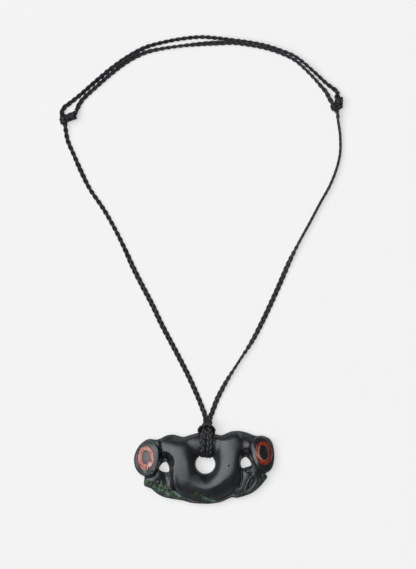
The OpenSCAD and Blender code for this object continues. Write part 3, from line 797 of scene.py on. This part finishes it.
def stone_heights(points, gap):
    """Front and back heights, and the depth of the carving. The front rises from the rim as a quarter
    circle of its own radius, the drums by a smaller one. The carving sinks it, and the rough edge's
    chips and a slight swell move it up and down. The back is flat, with a rounded edge and a channel."""
    land = polished_ground(points)
    across = np.clip((channel_half - np.abs(points[:, 0] - channel_x)) / channel_side, 0, 1)
    back = channel_deep * across * np.clip((points[:, 1] - channel_y) / channel_run, 0, 1)
    rim = back + (land - back) * rim_share
    front = (land - rim) * rounding(gap / (edge_share * land + patches(points, soft_edge_rows)))
    for eye in eye_rows.values():
        drum = (eye_drum(points, eye) - rim) * rounding(gap / drum_edge)
        meet = np.clip(drum_blend - np.abs(front - drum), 0, None) ** 2 * rounding(gap / blend_edge)
        front = np.maximum(front, drum) + meet / (4 * drum_blend)
    cut = carving(points)
    chips = 0.16 * waves(points, 3, 24, 0.9, 2.6) + 0.1 * waves(points, 5, 24, 2, 5)
    swell = 0.035 * waves(points, 8, 14, 5, 13)
    off = cut - chips * rough_share(points) - swell
    front = rim + (front - off * rounding(gap / carve_edge))
    low = rim - (rim - back) * rounding(gap / back_edge)
    return np.maximum(front, rim + least_wall * np.sign(gap)), low, cut


def rough_share(points):
    """1 on the unpolished lower edge of the wings, by the distance from a chain drawn along it."""
    left = near(points, smooth([[-30, -7.6], [-27.5, -8.6], [-24, -10], [-20, -11.4], [-15.6, -14.4],
                                [-10, -16.6]], 6))[0]
    right = near(points, smooth([[17, -14.6], [21.5, -13.4], [26, -10.6], [29, -7.4], [31, -4.6]], 6))[0]
    ragged = 0.9 * waves(points, 12, 16, 2, 5)
    return smooth_share(np.maximum((3 - left + ragged) / 1.6, (1.9 - right + ragged) / 1.4))


stone_black = (0.0045, 0.0052, 0.0068, 1)
stone_cloud = (0.009, 0.0108, 0.0122, 1)
stone_grain = (0.035, 0.041, 0.043, 1)
dark_green = (0.013, 0.03, 0.008, 1)
leaf_green = (0.065, 0.125, 0.045, 1)
pale_green = (0.2, 0.34, 0.29, 1)
# Painted highlight: pale grey laid where the stone should catch the light
sheen_grey = (0.13, 0.135, 0.14, 1)
# Painted shade: near-black laid into the carved cuts
hollow_shade_black = (0.004, 0.0045, 0.005, 1)


def greenstone():
    """Near-black, clouded and grained with grey; green and pale flecks where the skin of the stone
    shows, painted highlight in pale grey on the left pupil, the right drum's bevel and the leaf's lines,
    and painted shade in the carved cuts. It shines less on edges and on the rough skin."""
    finish = Finish("polished greenstone")
    place = finish.place()
    cloud = finish.noise(place, 0.16, 4.0, 0.6, 0.7)
    speck = finish.noise(place, 0.75, 5.0, 0.65, 0.2)
    fine = finish.noise(place, 3.2, 4.0, 0.6)
    scratch = finish.noise(finish.place((0.5, 3.5, 2.0)), 1.2, 3.0, 0.6, 0.3)
    green, pale = finish.attribute("green"), finish.attribute("pale")
    raw, hollow_shade = finish.attribute("raw"), finish.attribute("hollow_shade")
    edge, painted_sheen = finish.attribute("edge"), finish.attribute("painted_sheen")
    colour = finish.mix(cloud.ramp(0.38, 0.68), stone_black, stone_cloud)
    colour = finish.mix(fine.ramp(0.54, 0.76) * 0.7, colour, stone_grain)
    colour = finish.mix((green * 2 * speck.ramp(0.42, 0.56)).clip(), colour, dark_green)
    flecks = (green * 2 * speck.ramp(0.53, 0.64) * fine.ramp(0.3, 0.55)).clip()
    colour = finish.mix(flecks, colour, leaf_green)
    # Painted highlight: pale grey on the left pupil, the right drum's bevel and the leaf's lines
    colour = finish.mix((painted_sheen * (0.5 + fine.ramp(0.3, 0.7))).clip(), colour, sheen_grey)
    colour = finish.mix((pale * (0.35 + fine.ramp(0.35, 0.6))).clip(), colour, pale_green)
    # Painted shade: the carved cuts are darkened by their depth
    colour = finish.mix((hollow_shade * 1.2).clip(), colour, hollow_shade_black)
    rough = (0.24 + 0.1 * cloud + 0.32 * raw + 0.16 * fine + 0.35 * edge).clip()
    height = fine * 0.8 + scratch * 0.5 + raw * speck * 1.2
    return finish.surface(colour, rough, height, 0.065, {
        "Specular IOR Level": 0.75, "Specular Tint": (0.88, 0.94, 1.0, 1)})


def paint(piece, name, values):
    """Gives each point of a mesh a value, which its material reads."""
    layer = piece.data.attributes.new(name, "FLOAT", "POINT")
    layer.data.foreach_set("value", values.astype(np.float32))


# The back is the same sheet at its own heights with its faces turned round, and shares the rims' points
sheet_points, sheet_faces, sheet_gap = stone_sheet()
front, back, cut = stone_heights(sheet_points, sheet_gap)
count = len(sheet_points)
own = np.arange(count)
under = np.where(sheet_gap <= 0, own, own + count)
stone_points = np.vstack([np.column_stack([sheet_points, front]), np.column_stack([sheet_points, back])])
stone_faces = np.vstack([sheet_faces, under[sheet_faces][:, ::-1]])
kept, stone_faces = np.unique(stone_faces, return_inverse=True)
stone = add_mesh("carved_stone", stone_points[kept], stone_faces.reshape(-1, 3).tolist())
# Where the stone is flecked green, where it is pale, and where a pale grey painted highlight lies
# (the left pupil, the right drum's bevel, a spot at that drum's foot): x, y, half widths, lean, strength
green_rows = [
    [-28.4, -8, 2.4, 2, 0, 1], [-24.6, -9.8, 3.2, 2.8, -30, 1], [-20.4, -11.2, 3.2, 3.4, -25, 1],
    [-15.8, -14, 3.4, 2, -20, 1], [-11.6, -15.6, 2.6, 1.3, -15, 1], [-3.8, -13.8, 3, 2, 0, 0.6],
    [1.5, -15.8, 5, 1.6, -10, 0.5], [17, -14.2, 2.4, 1.2, 10, 0.7], [29.5, -6, 2.4, 1.6, 45, 0.45],
    [24.5, -11.5, 4, 1.3, 30, 0.4], [-24.6, 12, 3, 1.8, -20, 0.6], [-29.8, -2.3, 1.6, 1.1, -20, 0.7],
    [-31, 11, 2.4, 1, 45, 0.35], [-15, 15.8, 7, 1, 0, 0.3], [14, 17.5, 9, 1, 0, 0.3]]
pale_rows = [
    [-13.4, -13.2, 2.4, 0.45, -34, 0.7], [-18.4, -12.8, 1.2, 0.8, -30, 0.5],
    [-22.4, -11, 1, 0.8, -30, 0.4], [1.2, -15.4, 2.2, 0.3, -28, 0.5],
    [4.4, -16.6, 1.4, 0.5, -10, 0.6], [-29.4, -2.2, 0.8, 0.6, 0, 0.35]]
sheen_rows = [[-29, 5, 2.4, 3.4, -6, 0.6], [25.5, 5.8, 0.9, 3.8, 14, 1], [30, -2.7, 0.9, 0.4, 0, 0.6]]
blur = patches(sheet_points, green_rows) * (0.75 + 0.25 * waves(sheet_points, 21, 12, 2, 6))
# Painted highlight: the edge and the veins of the leaf are painted pale as if they caught the light,
# but for the leaf's upper end
sheen_line = np.exp(-((near(sheet_points, leaf_loop)[0] - 0.05) / 0.16) ** 2)
sheen_line = np.maximum(sheen_line, 0.5 * np.exp(-(near(sheet_points, vein_loop)[0] / 0.16) ** 2))
sheen_line = sheen_line * np.clip((-3.8 - sheet_points[:, 1]) / 3, 0, 1)
marks = {
    "green": np.clip(blur, 0, 1),
    "pale": patches(sheet_points, pale_rows),
    "raw": rough_share(sheet_points),
    # Painted shade in the carved cuts, by their depth; the back gets none
    "hollow_shade": np.clip(1.6 * cut, 0, 1),
    "edge": np.exp(-(sheet_gap / 0.8) ** 2),
    # Painted highlight: the pale grey patches and the lines of the leaf
    "painted_sheen": np.maximum(patches(sheet_points, sheen_rows), 0.65 * sheen_line)}
for name, share in marks.items():
    behind = np.zeros(count) if name == "hollow_shade" else share
    paint(stone, name, np.concatenate([share, behind])[kept])
stone.data.materials.append(greenstone())
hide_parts("stone")
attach(stone, "root")

# The eye rings: red wax pressed into an oval channel cut in each eye. The left one is worn and
# chipped along its lower right; the right one has sunk a little between its edges and shines.

# For each: how far it stands proud, how uneven it is, chips in its outer edge as angle, width and
# depth, and cracks as angle at the outer edge, slant, middle and length across the band, width and
# strength. The widest and weakest of them is painted shade, a darker stretch of the right ring.
ring_rows = {
    "left": [0.08, 0.03, [[-44, 4, 0.05], [-62, 4, 0.04], [7, 2.5, 0.08], [-138, 4, 0.05], [164, 4, 0.03]],
             [[-104, 44, 0.66, 0.36, 5, 1], [-24, 14, 0.7, 0.22, 7, 1], [-60, 10, 0.1, 0.25, 6, 1],
              [-84, 20, 0.2, 0.3, 3, 1], [100, 0, 0.3, 0.25, 5, 0.6], [-132, 0, 0.1, 0.3, 5, 0.8],
              [150, 0, 0.6, 0.3, 4, 0.5]]],
    "right": [-0.36, 0.01, [[140, 3, 0.03], [150, 3, 0.04], [-66, 6, 0.02]],
              [[150, 16, 0.15, 0.3, 2, 1], [128, 10, 0.5, 0.3, 2, 1], [-112, 10, 0.2, 0.2, 3, 1],
               [-14, 0, 0.5, 0.9, 48, 0.45]]]}
# Where each is made pale, on the left ring by real scuffs with painted highlight and on the right one
# by painted highlight: rows of angle, middle of the pale stretch across the band, half width, strength
scuff_and_sheen_rows = {
    "left": [[-110, 0.5, 0.5, 0], [-90, 0.5, 0.5, 0.5], [-60, 0.4, 0.5, 1], [-30, 0.35, 0.45, 0.9],
             [0, 0.3, 0.4, 0.5], [40, 0.3, 0.4, 0.1], [80, 0.4, 0.4, 0.5], [100, 0.5, 0.4, 0.4],
             [130, 0.4, 0.4, 0.1], [170, 0.3, 0.3, 0.5], [190, 0.3, 0.3, 0.3], [230, 0.5, 0.4, 0.1]],
    "right": [[-150, 0.85, 0.2, 1], [-125, 0.93, 0.13, 0.9], [-95, 0.98, 0.1, 0.7], [-80, 0.98, 0.1, 0],
              [120, 0.05, 0.2, 0], [136, 0.05, 0.2, 0.7], [143, 0.1, 0.2, 0.4], [156, 0.1, 0.25, 1],
              [172, 0.25, 0.35, 1], [188, 0.55, 0.35, 1], [210, 0.85, 0.2, 1]]}
# Points round a ring and across its band, how far its edges stand up, depths of its foot and cracks
ring_steps = 288
band_steps = 15
ring_raised = 0.03
foot_depth = 0.85
crack_depth = 0.12


def wax(name, base, light, dark, pale_scuff_and_sheen, rough):
    """Wax of one colour, clouded by wear, with darker cracks and a stretch of painted shade, and paler
    marks of real scuffs and painted highlight.
    """
    finish = Finish(name)
    place = finish.place()
    cloud = finish.noise(place, 0.7, 3.0, 0.6, 0.5)
    fleck = finish.noise(place, 2.4, 4.0, 0.65)
    paler, crack_and_shade = finish.attribute("paler"), finish.attribute("crack_and_shade")
    colour = finish.mix(cloud.ramp(0.42, 0.68), base, light)
    # Pale marks: painted highlight, with real scuffs on the left ring
    colour = finish.mix((paler * (0.25 + fleck.ramp(0.4, 0.62))).clip(), colour, pale_scuff_and_sheen)
    # Painted shade: the right ring's widest, weakest row darkens its right side
    colour = finish.mix((crack_and_shade * 1.8 + fleck.ramp(0.42, 0.28) * 0.5).clip(), colour, dark)
    return finish.surface(colour, (rough + 0.25 * paler + 0.1 * fleck).clip(), fleck, 0.05, {})


def inlay(side, finish):
    """A grid of angle and share w across the band, from the outer oval to the inner, on the eye's face:
    it stands by lift (1 - (2w - 1)^2) above it, or below, less its cracks. A foot closes it below."""
    eye = eye_rows[side]
    lift, uneven, chip_rows, crack_and_shade_rows = ring_rows[side]
    turn = 2 * np.pi * np.arange(ring_steps) / ring_steps
    w = np.linspace(0, 1, band_steps)
    degrees = np.degrees(turn)
    chips = np.zeros(len(turn))
    for at_angle, wide, deep in chip_rows:
        off = (degrees - at_angle + 180) % 360 - 180
        chips = np.maximum(chips, deep * np.exp(-(off / wide) ** 2))
    # The wobble is drawn for an unevenness of 0.02
    wobble = 0.012 * np.sin(3 * turn + 1) + 0.01 * np.sin(8 * turn + 2) + 0.008 * np.sin(17 * turn)
    wobble = wobble * uneven / 0.02
    (out_x, out_y), (in_x, in_y), raised = eye[4:7]
    outer = (1 + wobble - chips)[:, None]
    inner = (1 - np.roll(wobble, 40))[:, None]
    u = (out_x * outer * (1 - w) + in_x * inner * w) * np.cos(turn)[:, None]
    v = (out_y * outer * (1 - w) + in_y * inner * w) * np.sin(turn)[:, None] + raised * w
    back_turn = leaned(np.stack([u.ravel(), v.ravel()], axis=1), (0, 0), -eye[1])
    flat = back_turn * (np.cos(np.arctan(eye_slope)), 1) + np.array(eye[0])
    face = eye_face(flat, eye)[0].reshape(u.shape)
    crown = 1 - (2 * w - 1) ** 2
    lumps = uneven * waves(flat, 31, 18, 0.8, 2.4).reshape(u.shape) * np.sqrt(crown)
    scuffs = np.array(scuff_and_sheen_rows[side]).T
    across, half_wide, strong = [
        np.interp(degrees, scuffs[0], row, period=360)[:, None] for row in scuffs[1:]]
    # Painted highlight on both rings, with real scuffs on the left one
    paler = strong * np.exp(-((w - across) / half_wide) ** 2)
    crack_and_shade = np.zeros(u.shape)
    # The right ring's widest row is painted shade; like the cracks it also sinks the wax a little
    for at_angle, slant, middle_w, long, wide, strong in crack_and_shade_rows:
        off = (degrees[:, None] - at_angle - slant * w + 180) % 360 - 180
        crack_and_shade = np.maximum(crack_and_shade, strong * np.exp(-(off / wide) ** 2 - ((w - middle_w) / long) ** 4))
    crack_and_shade = crack_and_shade * np.sqrt(crown)
    top = face + ring_raised + lift * crown + lumps - crack_depth * crack_and_shade
    foot = face[:, [-1, 0]] - foot_depth
    xy = flat.reshape(*u.shape, 2)
    ring = np.concatenate([np.dstack([xy, top]), np.dstack([xy[:, [-1, 0]], foot])], axis=1)
    rows, sides = ring.shape[:2]
    i, k = np.meshgrid(np.arange(rows), np.arange(sides), indexing="ij")
    ni, nk = (i + 1) % rows, (k + 1) % sides
    faces = np.stack([i * sides + k, i * sides + nk, ni * sides + nk, ni * sides + k], -1).reshape(-1, 4)
    piece = add_mesh("wax_ring_" + side, ring.reshape(-1, 3), faces[:, ::-1].tolist())
    for name, share in {"paler": paler, "crack_and_shade": crack_and_shade}.items():
        paint(piece, name, np.hstack([share, share[:, [-1, 0]]]).ravel())
    piece.data.materials.append(finish)
    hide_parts("eye_ring_" + side)
    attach(piece, "root")


inlay("left", wax("worn wax", base=(0.33, 0.085, 0.065, 1), light=(0.44, 0.19, 0.155, 1),
                  dark=(0.08, 0.012, 0.009, 1), pale_scuff_and_sheen=(0.74, 0.5, 0.45, 1), rough=0.45))
inlay("right", wax("deep red wax", base=(0.22, 0.02, 0.01, 1), light=(0.36, 0.05, 0.018, 1),
                   dark=(0.03, 0.005, 0.004, 1), pale_scuff_and_sheen=(0.5, 0.24, 0.22, 1), rough=0.22))

# The light: a broad window up to the left, brighter in its lower middle, and a dim room all round,
# over a pale sheet of paper that is lit softly from below too, so that shadows stay faint.
paper = Finish("pale paper")
grain = paper.noise(paper.place(), 0.02, 2.0)
fibre = paper.noise(paper.place(), 2.5, 2.0)
sheet_corners = np.array([[-900, -900, 0], [900, -900, 0], [900, 900, 0], [-900, 900, 0]], float)
sheet = add_mesh("paper_sheet", sheet_corners, [[0, 1, 2, 3]])
sheet.data.materials.append(paper.surface(
    paper.mix(grain, (0.4, 0.4, 0.4, 1), (0.415, 0.415, 0.415, 1)), 0.9, fibre, 0.02,
    {"Emission Color": (1, 1, 1, 1), "Emission Strength": 0.48}))


def window(name, place, size, power):
    """A square area light that faces the middle of the stone."""
    data = bpy.data.lights.new(name, "AREA")
    data.size = size
    data.energy = power
    lamp = bpy.data.objects.new(name, data)
    lamp.location = place
    lamp.rotation_mode = "QUATERNION"
    lamp.rotation_quaternion = lamp.location.to_track_quat("Z", "Y")
    scene.collection.objects.link(lamp)


window("window", (-3.9, 1.3, 8.4), size=11, power=1140)
window("bright middle of the window", (-6.5, 2, 6.6), size=5, power=90)
room = bpy.data.worlds.new("room")
room.use_nodes = True
room.node_tree.nodes["Background"].inputs["Color"].default_value = (1, 1, 1, 1)
room.node_tree.nodes["Background"].inputs["Strength"].default_value = 0.12
scene.world = room
scene.view_settings.view_transform = "Standard"
